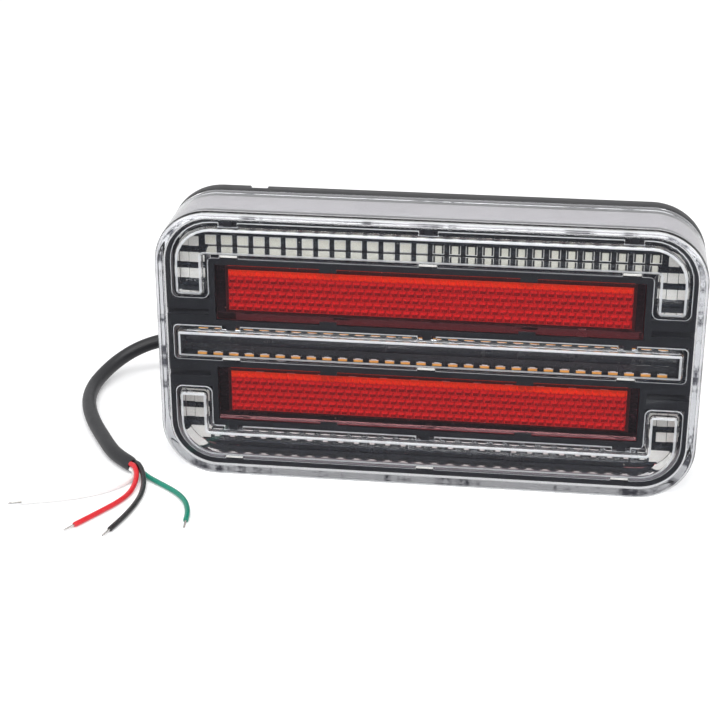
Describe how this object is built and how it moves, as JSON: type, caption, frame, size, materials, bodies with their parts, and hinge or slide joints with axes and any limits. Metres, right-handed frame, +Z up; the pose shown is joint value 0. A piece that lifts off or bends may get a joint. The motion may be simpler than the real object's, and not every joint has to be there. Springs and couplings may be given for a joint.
{
  "type": "trailer tail light",
  "caption": "Rectangular LED trailer tail light with a clear cover, C-shaped and bar light guides, two red stop plates, rear studs and a short stripped cable.",
  "frame": {"origin": "on the rear mounting face, midway between the two studs", "axes": "+X along the long side, to the right seen from the front; +Y out of the rear face, along the studs; +Z up; the light shines along -Y"},
  "size_m": [0.2414, 0.1454, 0.102],
  "materials": {
    "housing_black": "fine moulded grain",
    "stud_steel": "zinc plated",
    "gland_rubber": "moulded",
    "sealant": "cured bead",
    "clear_cover": "polished",
    "bezel_grey": "satin",
    "spacer_pale": "satin",
    "clear_guide": "polished",
    "red_clear": "polished, prismatic back",
    "pan_white": "bright",
    "board_black": "solder mask",
    "screw_steel": "plated",
    "lamp_white": "moulded",
    "phosphor_yellow": "gel",
    "phosphor_amber": "gel",
    "phosphor_red": "gel",
    "pad_white": "printed",
    "chip_black": "moulded",
    "tinned_metal": "tinned",
    "capacitor_can": "drawn",
    "jacket_black": "extruded",
    "wire_white": "extruded",
    "wire_red": "extruded",
    "wire_black": "extruded",
    "wire_green": "extruded"
  },
  "bodies": {
    "root": {"rear_housing": "housing_black", "mounting_studs": "stud_steel", "cable_gland": "gland_rubber", "gland_ring": "gland_rubber", "sealing_bead": "sealant", "front_cover": "clear_cover", "bezel": "bezel_grey", "spacer_frame": "spacer_pale", "upper_light_guide": "clear_guide", "lower_light_guide": "clear_guide", "indicator_light_guide": "clear_guide", "upper_red_plate": "red_clear", "lower_red_plate": "red_clear", "upper_reflector_pan": "pan_white", "lower_reflector_pan": "pan_white", "circuit_board": "board_black", "board_screws": "screw_steel", "lamp_strips": "board_black", "strip_pillars": "tinned_metal", "upper_tail_leds": "lamp_white", "lower_tail_leds": "lamp_white", "indicator_leds": "lamp_white", "upper_stop_leds": "lamp_white", "lower_stop_leds": "lamp_white", "upper_tail_phosphors": "phosphor_yellow", "lower_tail_phosphors": "phosphor_yellow", "indicator_phosphors": "phosphor_amber", "stop_phosphors": "phosphor_red", "upper_reflector_pads": "pad_white", "lower_reflector_pads": "pad_white", "driver_chips": "chip_black", "chip_legs": "tinned_metal", "diodes": "chip_black", "capacitors": "capacitor_can", "resistors": "chip_black", "inner_leads": "tinned_metal", "solder_joints": "tinned_metal", "cable_jacket": "jacket_black", "white_wire": "wire_white", "red_wire": "wire_red", "black_wire": "wire_black", "green_wire": "wire_green", "bare_ends": "tinned_metal"}
  },
  "joints": []
}
